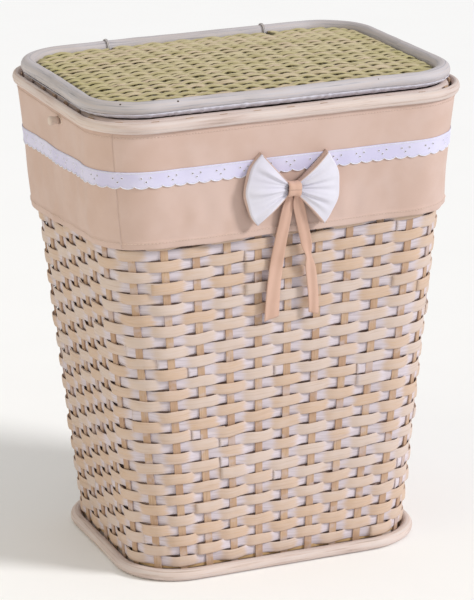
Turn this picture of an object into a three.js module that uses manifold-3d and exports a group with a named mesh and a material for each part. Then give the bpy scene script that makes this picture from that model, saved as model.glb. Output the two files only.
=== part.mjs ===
// A tall woven laundry hamper with a hinged lid, a cloth liner with a turned-down cuff, and a ribbon bow.
// Millimetres, +Z up. X runs along the long side, the bow is on the -Y side, and the origin is the
// middle of the footprint on the floor.
import * as THREE from "three";
import { mergeVertices } from "three/addons/utils/BufferGeometryUtils.js";
import Module from "manifold-3d";

// ---- Driving dimensions ----
const BASE_LEVEL = { z: 7, halfX: 172.5, halfY: 132.5 }; // half sizes of the stake ring at the base
const RIM_LEVEL = { z: 551, halfX: 219.5, halfY: 169 }; // and at the rim
const CORNER_RADIUS = 62;
const CORNER_STEPS = 9; // straight facets in each rounded corner
const GAP = 0.4; // room between pieces that touch on the real basket

const STAKE = { count: 36, width: 8.5, thickness: 1.8, bottom: 1.5, top: 557 };
const BASE_HOOP = { radius: 7 };
const BASE_INNER_HOOP = { radius: 5, z: 6 };
const BASE_PANEL = { bottom: 11.4, top: 15.4 };
const WEAVE = { inner: 1.7, outer: 4.2, bottom: 14.6, top: 538 };
const LINER = { offset: -3.2, thickness: 1, bottom: 15.9, top: 539 };
const CUFF = { offset: 6.2, thickness: 1.2, bottom: 412, top: 539 };
const LACE = { offset: 7.7, thickness: 0.6, bottom: 484, top: 503 };
const RIM_OUTER_HOOP = { halfHeight: 6.5, halfWidth: 4.5, z: 551.5 }; // a flattened rod
const RIM_INNER_HOOP = { radius: 6, z: 552 };

const LID_LEVEL = { z: 568.3, halfX: 216, halfY: 155.5 }; // centre line of the lid's bent rod
const LID_CENTRE_Y = -0.5;
const LID_ROD_RADIUS = 8.75;
const LID_PANEL = { edgeTop: 570.5, crownTop: 579, thickness: 5 };
const LID_LINING = { bottom: 558.4, thickness: 1, overhang: 2 };

const HINGE_X = 100.5; // each hinge loop sits midway between two stakes
const HINGE_CANE = 3;
const HINGE_CLEARANCE = 0.5;
const NOTCH = { width: 5, depth: 26 }; // cut in the lid, so that it clears the loops when it is open

const PEG = { radius: 5.25, length: 11.4, y: -31, z: 535 };

const BOW_X = -3.5;
const BOW_Z = 466.5;
const KNOT = { halfWidth: 8, halfHeight: 8.25, depth: 17.6 };
const BOW_BACKING = { reach: 57, halfHeight: 43, from: 1.3, depth: 3 };
const BOW_LOOP = { reach: 54, halfHeight: 41, from: 4.7, depth: 12.6 };
const BOW_TILT = THREE.MathUtils.degToRad(-3); // negative: the right half hangs lower
const TAIL = { length: 145, neckHalfWidth: 3.5, neckLength: 14, thickness: 1.5 };
const TAIL_LEFT = { width: 18, topX: -5, bottomX: -19, layer: 0 };
const TAIL_RIGHT = { width: 13, topX: 5, bottomX: 24, layer: 1 }; // it lies in front of the left one

// ---- Materials ----
function finish(color, roughness, metalness = 0) {
  return new THREE.MeshStandardMaterial({ color, roughness, metalness });
}
const COLOURS = {
  stake: 0xcdaf87,
  weave: 0xe1c6a5,
  hoop: 0xcdbcae,
  lidRod: 0xb4b0ac,
  willow: 0xcfc79a,
  board: 0xc9a97c,
  cotton: 0xdcbea5,
  lining: 0xf0eee8,
  lace: 0xe6e1f0,
  cane: 0xc7a877,
};

// ---- Solids by manifold-3d, for joins and cuts ----
const wasm = await Module();
wasm.setup();

function toSolid(geometry) {
  const bare = geometry.clone();
  bare.deleteAttribute("normal");
  bare.deleteAttribute("uv");
  const merged = mergeVertices(bare, 1e-4);
  return new wasm.Manifold(
    new wasm.Mesh({
      numProp: 3,
      vertProperties: new Float32Array(merged.attributes.position.array),
      triVerts: new Uint32Array(merged.index.array),
    }),
  );
}

function toGeometry(solid) {
  const mesh = solid.getMesh();
  const geometry = new THREE.BufferGeometry();
  geometry.setAttribute("position", new THREE.BufferAttribute(mesh.vertProperties, 3));
  geometry.setIndex(new THREE.BufferAttribute(mesh.triVerts, 1));
  geometry.computeVertexNormals();
  return geometry;
}

function cut(geometry, cutters) {
  const solid = cutters.reduce((rest, cutter) => rest.subtract(toSolid(cutter)), toSolid(geometry));
  return toGeometry(solid);
}

// ---- A rounded rectangle seen from above, which may widen with height ----
class Plan {
  constructor(low, high, cornerRadius, centreY = 0) {
    Object.assign(this, { low, high, cornerRadius, centreY });
  }

  // Distances from the middle to the centres of the corner arcs at one height.
  arcCentre(z) {
    const rise = this.high.z === this.low.z ? 0 : (z - this.low.z) / (this.high.z - this.low.z);
    const { lerp } = THREE.MathUtils;
    return {
      x: lerp(this.low.halfX, this.high.halfX, rise) - this.cornerRadius,
      y: lerp(this.low.halfY, this.high.halfY, rise) - this.cornerRadius,
    };
  }

  // The point of the outline on one corner's arc, moved outwards by offset.
  onArc(quarter, turn, offset, z) {
    const middle = (quarter + 0.5) * (Math.PI / 2);
    const angle = (quarter + turn) * (Math.PI / 2);
    const centre = this.arcCentre(z);
    const radius = this.cornerRadius + offset;
    return new THREE.Vector3(
      Math.sign(Math.cos(middle)) * centre.x + radius * Math.cos(angle),
      Math.sign(Math.sin(middle)) * centre.y + radius * Math.sin(angle),
      z,
    );
  }

  // One closed ring of points, anticlockwise seen from above. scale draws it towards the middle.
  ring(offset, z, scale = 1) {
    const points = [];
    for (let quarter = 0; quarter < 4; quarter++) {
      for (let step = 0; step <= CORNER_STEPS; step++) {
        const point = this.onArc(quarter, step / CORNER_STEPS, offset, z);
        points.push(new THREE.Vector3(point.x * scale, point.y * scale + this.centreY, z));
      }
    }
    return points;
  }

  // The point a given fraction of the way round the outline, counted from the middle of the +X side.
  along(fraction, z) {
    const centre = this.arcCentre(z);
    const arc = this.cornerRadius * (Math.PI / 2);
    const quarter = Math.round(fraction * STAKE.count) / (STAKE.count / 4);
    const corner = Math.floor(quarter) % 4;
    const before = corner % 2 === 0 ? centre.y : centre.x; // the straight leading to this corner
    const distance = (quarter - Math.floor(quarter)) * (centre.x + centre.y + arc);
    const turn = THREE.MathUtils.clamp((distance - before) / arc, 0, 1);
    const straight = distance - before - turn * arc; // negative before the corner, positive after it
    const angle = (corner + turn) * (Math.PI / 2);
    const point = this.onArc(corner, turn, 0, z);
    point.x -= straight * Math.sin(angle);
    point.y += straight * Math.cos(angle);
    return { point, angle };
  }
}

const wall = new Plan(BASE_LEVEL, RIM_LEVEL, CORNER_RADIUS);
const lid = new Plan(LID_LEVEL, LID_LEVEL, CORNER_RADIUS, LID_CENTRE_Y);

// ---- Surfaces through a series of rings ----
// closed joins the last ring to the first; otherwise a fan of faces closes each end.
function skin(rings, closed) {
  const count = rings[0].length;
  const points = rings.flat();
  const faces = [];
  const spans = closed ? rings.length : rings.length - 1;
  for (let span = 0; span < spans; span++) {
    const here = span * count;
    const there = ((span + 1) % rings.length) * count;
    for (let i = 0; i < count; i++) {
      const next = (i + 1) % count;
      faces.push(here + i, here + next, there + next);
      faces.push(here + i, there + next, there + i);
    }
  }
  if (!closed) {
    for (const end of [0, rings.length - 1]) {
      const middle = rings[end].reduce((sum, p) => sum.add(p), new THREE.Vector3()).divideScalar(count);
      points.push(middle);
      for (let i = 0; i < count; i++) {
        const here = end * count + i;
        const next = end * count + ((i + 1) % count);
        faces.push(points.length - 1, end === 0 ? next : here, end === 0 ? here : next);
      }
    }
  }
  const geometry = new THREE.BufferGeometry().setFromPoints(points);
  geometry.setIndex(faces);
  geometry.computeVertexNormals();
  return geometry;
}

// A bent rod: a round or flattened section carried round the outline. Its facets touch the true
// circle or ellipse, and the lowest one is level.
function hoop(plan, offset, z, halfHeight, { halfWidth = halfHeight, sides = 12 } = {}) {
  const margin = 1 / Math.cos(Math.PI / sides);
  const rings = [];
  for (let side = 0; side < sides; side++) {
    const angle = ((side + 0.5) / sides) * 2 * Math.PI - Math.PI / 2;
    const out = halfWidth * margin * Math.cos(angle);
    const up = halfHeight * margin * Math.sin(angle);
    rings.push(plan.ring(offset + out, z + up));
  }
  return skin(rings, true);
}

// A band of even thickness round the outline, open at the top and the bottom.
function band(plan, inner, outer, bottom, top) {
  return skin(
    [plan.ring(outer, bottom), plan.ring(outer, top), plan.ring(inner, top), plan.ring(inner, bottom)],
    true,
  );
}

function plate(plan, offset, bottom, top) {
  return skin([plan.ring(offset, bottom), plan.ring(offset, top)], false);
}

// ---- Assembly helpers ----
const hamper = new THREE.Group();
hamper.name = "laundry_hamper";

function add(name, geometry, material, parent = hamper) {
  const mesh = new THREE.Mesh(geometry, material);
  mesh.name = name;
  parent.add(mesh);
  return mesh;
}

// ---- Basket frame ----
function addStakes() {
  const material = finish(COLOURS.stake, 0.7);
  for (let i = 0; i < STAKE.count; i++) {
    const low = wall.along(i / STAKE.count, STAKE.bottom);
    const high = wall.along(i / STAKE.count, STAKE.top);
    const rise = high.point.clone().sub(low.point);
    const angle = (low.angle + high.angle) / 2;
    const outward = new THREE.Vector3(Math.cos(angle), Math.sin(angle), 0);
    const sideways = rise.clone().cross(outward).normalize().negate();
    const up = rise.clone().normalize();
    const stake = add(
      `stake_${String(i + 1).padStart(2, "0")}`,
      new THREE.BoxGeometry(STAKE.width, STAKE.thickness, rise.length()),
      material,
    );
    stake.quaternion.setFromRotationMatrix(
      new THREE.Matrix4().makeBasis(sideways, up.clone().cross(sideways), up),
    );
    stake.position.copy(low.point).add(high.point).multiplyScalar(0.5);
  }
}

const stakeHalf = STAKE.thickness / 2 + GAP;
const rimOuterOffset = stakeHalf + 0.4 + RIM_OUTER_HOOP.halfWidth;
const rimInnerOffset = -(stakeHalf + 0.2 + RIM_INNER_HOOP.radius);

function addHoops() {
  const rod = finish(COLOURS.hoop, 0.62);
  const baseOffset = stakeHalf + 0.4 + BASE_HOOP.radius;
  add("base_hoop", hoop(wall, baseOffset, BASE_HOOP.radius, BASE_HOOP.radius), rod);
  const innerOffset = -(stakeHalf + BASE_INNER_HOOP.radius);
  const innerHoop = hoop(wall, innerOffset, BASE_INNER_HOOP.z, BASE_INNER_HOOP.radius, { sides: 8 });
  add("base_inner_hoop", innerHoop, rod);
  const { z, halfHeight, halfWidth } = RIM_OUTER_HOOP;
  add("rim_outer_hoop", hoop(wall, rimOuterOffset, z, halfHeight, { halfWidth }), rod);
  add("rim_inner_hoop", hoop(wall, rimInnerOffset, RIM_INNER_HOOP.z, RIM_INNER_HOOP.radius), rod);
}

function addBaseAndWall() {
  add("base_panel", plate(wall, -stakeHalf, BASE_PANEL.bottom, BASE_PANEL.top), finish(COLOURS.board, 0.75));
  add(
    "wall_weave",
    band(wall, WEAVE.inner, WEAVE.outer, WEAVE.bottom, WEAVE.top),
    finish(COLOURS.weave, 0.68),
  );
}

// ---- Cloth ----
function addLiner() {
  const cotton = finish(COLOURS.cotton, 0.9);
  const inside = LINER.offset - LINER.thickness;
  const bag = skin(
    [
      wall.ring(LINER.offset, LINER.bottom),
      wall.ring(LINER.offset, LINER.top),
      wall.ring(inside, LINER.top),
      wall.ring(inside, LINER.bottom + LINER.thickness),
    ],
    false,
  );
  add("liner_bag", bag, cotton);
  add("liner_cuff", band(wall, CUFF.offset, CUFF.offset + CUFF.thickness, CUFF.bottom, CUFF.top), cotton);
  add(
    "lace_trim",
    band(wall, LACE.offset, LACE.offset + LACE.thickness, LACE.bottom, LACE.top),
    finish(COLOURS.lace, 0.85),
  );
}

// ---- Lid ----
const hingeAxis = new THREE.Vector3(0, LID_CENTRE_Y + LID_LEVEL.halfY, LID_LEVEL.z);

function hingeNotches() {
  const size = 2 * NOTCH.depth;
  return [-HINGE_X, HINGE_X].map((x) =>
    new THREE.BoxGeometry(NOTCH.width, size, size).translate(x, hingeAxis.y, hingeAxis.z),
  );
}

// The woven panel: level at its edge, crowned in the middle.
function crownedPanel() {
  const offset = -(LID_ROD_RADIUS + GAP);
  const scales = [1, 0.82, 0.55, 0.25];
  const crown = (scale) => (LID_PANEL.crownTop - LID_PANEL.edgeTop) * (1 - scale ** 2);
  const upper = scales.map((scale) => lid.ring(offset, LID_PANEL.edgeTop + crown(scale), scale));
  const lower = scales.map((scale) =>
    lid.ring(offset, LID_PANEL.edgeTop - LID_PANEL.thickness + crown(scale), scale),
  );
  return skin([...lower.reverse(), ...upper], false);
}

function addLid() {
  const assembly = new THREE.Group();
  hamper.add(assembly);
  const rod = hoop(lid, 0, LID_LEVEL.z, LID_ROD_RADIUS);
  add("lid_rim_hoop", rod, finish(COLOURS.lidRod, 0.6), assembly);
  add("lid_weave", cut(crownedPanel(), hingeNotches()), finish(COLOURS.willow, 0.65), assembly);
  const sheet = plate(lid, LID_LINING.overhang, LID_LINING.bottom, LID_LINING.bottom + LID_LINING.thickness);
  add("lid_lining", cut(sheet, hingeNotches()), finish(COLOURS.lining, 0.9), assembly);
}

// The tight outline round a set of circles, as a belt lies round its pulleys.
function beltOutline(circles, clearance) {
  const directions = 32;
  const points = [];
  for (let i = 0; i < directions; i++) {
    const angle = (i / directions) * 2 * Math.PI;
    const out = new THREE.Vector2(Math.cos(angle), Math.sin(angle));
    const reach = (circle) => circle.centre.dot(out) + circle.radius;
    const touching = circles.reduce((best, circle) => (reach(circle) > reach(best) ? circle : best));
    points.push(touching.centre.clone().addScaledVector(out, touching.radius + clearance));
  }
  return points;
}

// A cane loop round the lid's back rod and both rim rods, on which the lid turns.
function addHingeLoops() {
  const rimY = (offset, z) => wall.arcCentre(z).y + CORNER_RADIUS + offset;
  const circles = [
    { centre: new THREE.Vector2(hingeAxis.y, hingeAxis.z), radius: LID_ROD_RADIUS },
    {
      centre: new THREE.Vector2(rimY(rimInnerOffset, RIM_INNER_HOOP.z), RIM_INNER_HOOP.z),
      radius: RIM_INNER_HOOP.radius,
    },
    {
      centre: new THREE.Vector2(rimY(rimOuterOffset, RIM_OUTER_HOOP.z), RIM_OUTER_HOOP.z),
      radius: RIM_OUTER_HOOP.halfHeight,
    },
  ];
  const shape = new THREE.Shape(beltOutline(circles, HINGE_CLEARANCE + HINGE_CANE));
  shape.holes.push(new THREE.Path(beltOutline(circles, HINGE_CLEARANCE)));
  const axes = new THREE.Matrix4().makeBasis(
    new THREE.Vector3(0, 1, 0),
    new THREE.Vector3(0, 0, 1),
    new THREE.Vector3(1, 0, 0),
  );
  for (const [name, x] of [["left", -HINGE_X], ["right", HINGE_X]]) {
    const geometry = new THREE.ExtrudeGeometry(shape, { depth: HINGE_CANE, bevelEnabled: false });
    geometry.translate(0, 0, -HINGE_CANE / 2).applyMatrix4(axes);
    const loop = add(`hinge_loop_${name}`, geometry, finish(COLOURS.cane, 0.6));
    loop.position.x = x;
  }
}

// ---- Side pegs that button the liner's cuff down ----
function addPegs() {
  const outline = wall.arcCentre(PEG.z + PEG.radius).x + CORNER_RADIUS;
  const face = outline + CUFF.offset + CUFF.thickness + GAP;
  for (const [name, side] of [["left", -1], ["right", 1]]) {
    const peg = add(
      `side_peg_${name}`,
      new THREE.CylinderGeometry(PEG.radius, PEG.radius, PEG.length, 16),
      finish(COLOURS.board, 0.6),
    );
    peg.rotation.z = Math.PI / 2;
    peg.position.set(side * (face + PEG.length / 2), PEG.y, PEG.z);
  }
}

// ---- Bow ----
// Half of a bow as a flat fan: narrow at the knot, with a rounded outer edge. It points along +X.
function fanShape(reach, halfHeight) {
  const start = KNOT.halfWidth + GAP;
  const neck = 5;
  const shape = new THREE.Shape();
  shape.moveTo(start, -neck);
  shape.lineTo(reach * 0.8, -halfHeight);
  shape.quadraticCurveTo(reach + 10, 0, reach * 0.8, halfHeight);
  shape.lineTo(start, neck);
  return shape;
}

function addFans(bow, kind, size, material) {
  for (const [name, side] of [["left", -1], ["right", 1]]) {
    const fan = new THREE.ExtrudeGeometry(fanShape(size.reach, size.halfHeight), {
      depth: size.depth,
      bevelEnabled: false,
      curveSegments: 8,
    });
    fan.rotateX(Math.PI / 2); // now it stands up, with its depth along -Y
    const mesh = add(`bow_${kind}_${name}`, fan, material, bow);
    mesh.rotation.y = (side < 0 ? Math.PI : 0) - BOW_TILT;
    mesh.position.y = -size.from;
  }
}

function addBow() {
  const cotton = finish(COLOURS.cotton, 0.88);
  const bow = new THREE.Group();
  const cuffFace = wall.arcCentre(BOW_Z).y + CORNER_RADIUS + CUFF.offset + CUFF.thickness;
  bow.position.set(BOW_X, -cuffFace, BOW_Z);
  const wallLean = (RIM_LEVEL.halfY - BASE_LEVEL.halfY) / (RIM_LEVEL.z - BASE_LEVEL.z);
  bow.rotation.x = Math.atan(wallLean);
  hamper.add(bow);
  addFans(bow, "backing", BOW_BACKING, cotton);
  addFans(bow, "loop", BOW_LOOP, finish(COLOURS.lining, 0.88));
  const knot = add("bow_knot", new THREE.SphereGeometry(1, 16, 10), cotton, bow);
  knot.scale.set(KNOT.halfWidth, KNOT.depth / 2, KNOT.halfHeight);
  knot.position.y = -(BOW_BACKING.from + KNOT.depth / 2);
  addTails(cotton, -(cuffFace + BOW_LOOP.from));
}

// The two ribbon ends hang straight down from under the knot.
function addTails(material, y) {
  for (const [name, tail] of [["left", TAIL_LEFT], ["right", TAIL_RIGHT]]) {
    const half = tail.width / 2;
    const shape = new THREE.Shape();
    shape.moveTo(TAIL.neckHalfWidth, 0);
    shape.lineTo(-TAIL.neckHalfWidth, 0);
    shape.lineTo(-half, -TAIL.neckLength);
    shape.lineTo(-half, -TAIL.length);
    shape.lineTo(half, -TAIL.length);
    shape.lineTo(half, -TAIL.neckLength);
    const geometry = new THREE.ExtrudeGeometry(shape, { depth: TAIL.thickness, bevelEnabled: false });
    geometry.rotateX(Math.PI / 2);
    const mesh = add(`bow_tail_${name}`, geometry, material);
    mesh.rotation.y = Math.atan2(tail.topX - tail.bottomX, TAIL.length);
    const layerY = y - tail.layer * (TAIL.thickness + GAP);
    mesh.position.set(BOW_X + tail.topX, layerY, BOW_Z - KNOT.halfHeight - GAP);
  }
}

addStakes();
addHoops();
addBaseAndWall();
addLiner();
addLid();
addHingeLoops();
addPegs();
addBow();

export default hamper;
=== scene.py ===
"""A tall woven laundry hamper with a hinged lid and a cloth liner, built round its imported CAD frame."""
import math

import bmesh
import bpy
import numpy as np
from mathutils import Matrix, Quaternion, Vector


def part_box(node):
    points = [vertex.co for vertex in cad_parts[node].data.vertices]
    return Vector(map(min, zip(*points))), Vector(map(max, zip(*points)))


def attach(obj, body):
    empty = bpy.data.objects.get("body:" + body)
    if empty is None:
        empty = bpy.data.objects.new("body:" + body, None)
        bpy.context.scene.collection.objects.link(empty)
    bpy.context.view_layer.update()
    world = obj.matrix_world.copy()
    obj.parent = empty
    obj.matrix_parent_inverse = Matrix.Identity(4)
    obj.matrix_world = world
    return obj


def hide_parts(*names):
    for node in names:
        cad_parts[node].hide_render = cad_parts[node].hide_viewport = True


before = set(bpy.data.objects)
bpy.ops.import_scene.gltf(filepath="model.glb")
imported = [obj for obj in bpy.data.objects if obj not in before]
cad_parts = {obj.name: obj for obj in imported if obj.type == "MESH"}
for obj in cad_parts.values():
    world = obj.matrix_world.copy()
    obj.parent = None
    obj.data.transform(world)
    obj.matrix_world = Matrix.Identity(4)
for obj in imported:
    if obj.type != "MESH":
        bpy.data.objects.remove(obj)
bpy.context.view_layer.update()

MM = 0.001
TAU = 2 * math.pi
UP = np.array([0.0, 0.0, 1.0])
RANDOM = np.random.default_rng(11)

# What the CAD part is built to, beyond the boxes of its nodes.
STAKES = 36
STAKE_HALF = 0.9 * MM
CORNER_RADIUS = 62 * MM
WALL_ROWS = 40
RIM_FLATNESS = 4.5 / 6.5  # the width of the rim's outer rod over its height
THREAD_PITCH = 0.42 * MM  # of every cloth here


# --- camera, floor and light
def new_object(name, data):
    made = bpy.data.objects.new(name, data)
    bpy.context.scene.collection.objects.link(made)
    return made


def add_camera():
    """The photograph's viewpoint: a long lens, from the front left and a little above."""
    azimuth, elevation, roll = math.radians(-22), math.radians(17.3), math.radians(0.9)
    distance, aim = 3.6, Vector((0, 0, 0.284))
    back = Vector((
        math.sin(azimuth) * math.cos(elevation),
        -math.cos(azimuth) * math.cos(elevation),
        math.sin(elevation),
    ))
    data = bpy.data.cameras.new("camera")
    data.lens = 182
    data.clip_end = 40
    camera = new_object("camera", data)
    camera.location = aim + back * distance
    camera.rotation_mode = "QUATERNION"
    camera.rotation_quaternion = (-back).to_track_quat("-Z", "Y") @ Quaternion((0, 0, 1), -roll)
    bpy.context.scene.camera = camera


def add_light(name, kind, location, power, color, softness):
    """A lamp aimed at the basket: softness is a sun's angle, or an area lamp's width."""
    data = bpy.data.lights.new(name, kind)
    data.energy = power
    data.color = color
    if kind == "SUN":
        data.angle = softness
    else:
        data.shape = "DISK"
        data.size = softness
    light = new_object(name, data)
    light.location = location
    light.rotation_mode = "QUATERNION"
    light.rotation_quaternion = (Vector((0, 0, 0.3)) - Vector(location)).to_track_quat("-Z", "Y")


def add_studio():
    """A pale floor that runs out of sight, a white surround, and soft lamps."""
    scene = bpy.context.scene
    scene.view_settings.view_transform = "Standard"
    world = bpy.data.worlds.new("surround")
    world.use_nodes = True
    world.node_tree.nodes["Background"].inputs["Color"].default_value = (1, 1, 1, 1)
    world.node_tree.nodes["Background"].inputs["Strength"].default_value = 0.6
    scene.world = world
    add_light("key", "SUN", (2.3, -2.0, 2.3), 2.2, (1, 0.99, 0.98), math.radians(14))
    add_light("fill", "AREA", (-3.0, -0.6, 1.2), 15.5, (1, 0.86, 0.44), 2.0)
    floor = Look("floor", roughness=0.85, specular=0.1)
    floor.set("Base Color", floor.mix(floor.noise(None, (6, 6, 6)), "fbfbfb", "f8f8f8"))
    half = 9
    corners = [(-half, -half, 0), (half, -half, 0), (half, half, 0), (-half, half, 0)]
    mesh = bpy.data.meshes.new("floor")
    mesh.from_pydata(corners, [], [(0, 1, 2, 3)])
    mesh.materials.append(floor.material)
    new_object("floor", mesh)


# --- materials
def linear_color(code):
    """A hex colour as the linear colour that a node holds."""
    parts = [int(code[i:i + 2], 16) / 255 for i in (0, 2, 4)]
    linear = [c / 12.92 if c <= 0.04045 else ((c + 0.055) / 1.055) ** 2.4 for c in parts]
    return (*linear, 1.0)


class Look:
    """A node material while it is put together."""

    def __init__(self, name, roughness=0.6, specular=0.3, sheen=0.0):
        self.material = bpy.data.materials.new(name)
        self.material.use_nodes = True
        self.tree = self.material.node_tree
        self.shader = self.tree.nodes["Principled BSDF"]
        self.set("Roughness", roughness)
        self.set("Specular IOR Level", specular)
        self.set("Sheen Weight", sheen)

    def set(self, socket, value):
        self.feed(self.shader.inputs[socket], value)

    def feed(self, socket, value):
        if isinstance(value, bpy.types.NodeSocket):
            self.tree.links.new(value, socket)
        else:
            socket.default_value = linear_color(value) if isinstance(value, str) else value

    def node(self, kind, inputs=None, result=0, **settings):
        made = self.tree.nodes.new("ShaderNode" + kind)
        for key, value in settings.items():
            setattr(made, key, value)
        for key, value in (inputs or {}).items():
            self.feed(made.inputs[key], value)
        return made.outputs[result]

    def value(self, attribute):
        return self.node("Attribute", result="Fac", attribute_name=attribute)

    def part(self, attribute, axis):
        source = self.node("Attribute", result="Vector", attribute_name=attribute)
        return self.node("SeparateXYZ", {0: source}, result=axis)

    def noise(self, attribute, scale, detail=3.0, rough=0.55):
        """Noise over a named attribute, or over the rest position, stretched by scale."""
        if attribute:
            source = self.node("Attribute", result="Vector", attribute_name=attribute)
        else:
            source = self.node("TexCoord", result="Object")
        at = self.node("VectorMath", {0: source, 1: scale}, operation="MULTIPLY")
        return self.node("TexNoise", {"Vector": at, "Scale": 1.0, "Detail": detail, "Roughness": rough})

    def maths(self, operation, a, b=0.0):
        return self.node("Math", {0: a, 1: b}, operation=operation)

    def plus(self, a, b, times):
        """a, and so many times b."""
        return self.maths("ADD", a, self.maths("MULTIPLY", b, times))

    def spread(self, value, low, high, out_low=0.0, out_high=1.0):
        """value from low..high to out_low..out_high, held at both ends."""
        return self.node("MapRange", {0: value, 1: low, 2: high, 3: out_low, 4: out_high},
                         interpolation_type="SMOOTHSTEP")

    def mix(self, share, a, b):
        return self.node("Mix", {0: share, 6: a, 7: b}, result=2, data_type="RGBA")

    def bump(self, height, distance, strength):
        inputs = {"Height": height, "Distance": distance, "Strength": strength}
        self.set("Normal", self.node("Bump", inputs))

    def finish(self, color, roughness, height, distance, strength):
        """The whole material: its colour, its roughness, and relief of that height."""
        self.set("Base Color", color)
        self.set("Roughness", roughness)
        self.bump(height, distance, strength)
        return self.material


def split_look():
    """Flat split willow, whitewashed and then rubbed back where it stands proud."""
    look = Look("weave_split", roughness=0.62, specular=0.25)
    grain = look.noise("strand", (22, 520, 1), 4.0, 0.6)
    fine = look.noise("strand", (60, 1900, 1), 2.0)
    patches = look.noise("strand", (24, 90, 1), 2.0)
    tone = look.plus(look.part("tint", 0), look.maths("SUBTRACT", patches, 0.5), 0.9)
    wood = look.mix(look.spread(tone, 0.05, 0.95), "caad93", "cebbae")
    wood = look.mix(look.spread(grain, 0.52, 0.78, 0, 0.4), wood, "ac8f78")
    wash = look.mix(look.spread(grain, 0.35, 0.75), "d5cbd3", "c3b8be")
    uneven = look.plus(look.maths("MULTIPLY", patches, 0.9), fine, 0.5)
    rubbed = look.maths("ADD", look.value("raised"), look.maths("SUBTRACT", uneven, 0.7))
    rubbed = look.maths("SUBTRACT", rubbed, look.part("tint", 1))
    bare = look.spread(rubbed, 0.0, 0.66)
    streaks = look.spread(fine, 0.35, 0.7, 0.78, 1.0)
    color = look.mix(look.maths("MULTIPLY", bare, streaks), wash, wood)
    rough = look.spread(grain, 0.3, 0.8, 0.52, 0.74)
    return look.finish(color, rough, look.plus(grain, fine, 0.4), 0.25 * MM, 0.6)


def stake_look():
    """Upright splits: the grain runs up the stake, and little of the whitewash is left."""
    look = Look("stake_wood", roughness=0.65, specular=0.25)
    grain = look.noise(None, (700, 700, 14), 4.0, 0.6)
    patches = look.noise(None, (30, 30, 22), 2.0)
    wood = look.mix(look.spread(patches, 0.3, 0.7), "c5a88e", "b3927a")
    wood = look.mix(look.spread(grain, 0.45, 0.75, 0, 0.6), wood, "a18166")
    wash = look.spread(look.noise(None, (45, 45, 60), 3.0), 0.48, 0.66, 0, 0.6)
    color = look.mix(wash, wood, "c4b6b8")
    return look.finish(color, look.spread(grain, 0.3, 0.8, 0.55, 0.78), grain, 0.25 * MM, 0.6)


def rod_look(name, colors, streak):
    """A bent round rod with a thin wash over it, so the grain still shows along it."""
    look = Look(name, roughness=0.55, specular=0.3)
    grain = look.noise("strand", (16, 420, 1), 5.0, 0.62)
    fine = look.noise("strand", (55, 1500, 1), 2.0)
    clouds = look.noise("strand", (9, 30, 1), 3.0)
    color = look.mix(look.spread(clouds, 0.36, 0.64), colors[0], colors[1])
    color = look.mix(look.spread(grain, 0.35, 0.62, 0.5, 0), color, colors[2])
    color = look.mix(look.spread(grain, 0.54, 0.72, 0, 0.7), color, streak)
    rough = look.spread(grain, 0.3, 0.75, 0.48, 0.7)
    return look.finish(color, rough, look.plus(grain, fine, 0.35), 0.35 * MM, 0.7)


def willow_look():
    """Thin peeled rods, from cream to yellow-green, a little glossy."""
    look = Look("willow_rods", roughness=0.5, specular=0.35)
    grain = look.noise("strand", (20, 700, 1), 4.0, 0.6)
    clouds = look.noise("strand", (14, 40, 1), 2.0)
    tone = look.plus(look.part("tint", 0), look.maths("SUBTRACT", clouds, 0.5), 0.8)
    color = look.mix(look.spread(tone, 0.0, 0.55), "b3a87f", "bfb390")
    color = look.mix(look.spread(tone, 0.5, 1.0), color, "c4b299")
    color = look.mix(look.part("tint", 1), color, "a8a169")
    color = look.mix(look.spread(grain, 0.48, 0.78, 0, 0.5), color, "857b58")
    # painted shade: tint's third part turns a rod dark brown where it dips under a rib and where its ends
    # turn down, and darkens the ribs so the gaps between rods look shaded
    color = look.mix(look.part("tint", 2), color, "443824")
    return look.finish(color, look.spread(grain, 0.3, 0.8, 0.42, 0.62), grain, 0.3 * MM, 0.6)


def board_look(name, light, dark):
    """Plain thin wood with long grain."""
    look = Look(name, roughness=0.6, specular=0.25)
    grain = look.noise(None, (9, 160, 160), 5.0, 0.6)
    rings = look.noise(None, (3, 26, 26), 3.0)
    color = look.mix(look.spread(rings, 0.35, 0.65), light, dark)
    color = look.mix(look.spread(grain, 0.5, 0.75, 0, 0.4), color, "a9845a")
    return look.finish(color, look.spread(grain, 0.3, 0.8, 0.5, 0.7), grain, 0.2 * MM, 0.5)


def cloth_look(name, light, dark, relief=0.35):
    """Plain-weave cloth: 'cloth' holds how far a point lies along and up its threads."""
    look = Look(name, roughness=0.88, specular=0.12, sheen=0.15)
    turns = TAU / THREAD_PITCH
    ways = [look.maths("SINE", look.maths("MULTIPLY", look.part("cloth", axis), turns)) for axis in (0, 1)]
    threads = look.maths("MULTIPLY", *ways)
    slubs = look.noise("cloth", (90, 900, 1), 2.0)
    clouds = look.noise("cloth", (16, 16, 1), 3.0)
    color = look.mix(look.spread(clouds, 0.36, 0.64), light, dark)
    color = look.mix(look.spread(slubs, 0.5, 0.8, 0, 0.22), color, dark)
    rough = look.spread(slubs, 0.3, 0.7, 0.84, 0.95)
    return look.finish(color, rough, look.plus(slubs, threads, 0.5), 0.08 * MM, relief)


def thread_look(name, color):
    look = Look(name, roughness=0.8, specular=0.15, sheen=0.1)
    twist = look.noise(None, (900, 900, 900), 2.0)
    shade = (*(0.86 * c for c in linear_color(color)[:3]), 1)
    look.set("Base Color", look.mix(look.spread(twist, 0.3, 0.7), color, shade))
    look.bump(twist, 0.1 * MM, 0.4)
    return look.material


def iron_look():
    look = Look("nail_iron", roughness=0.5, specular=0.5)
    rust = look.noise(None, (600, 600, 600), 3.0)
    look.set("Base Color", look.mix(look.spread(rust, 0.4, 0.7), "3a3431", "5d4534"))
    look.set("Metallic", 0.6)
    look.bump(rust, 0.1 * MM, 0.5)
    return look.material


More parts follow.
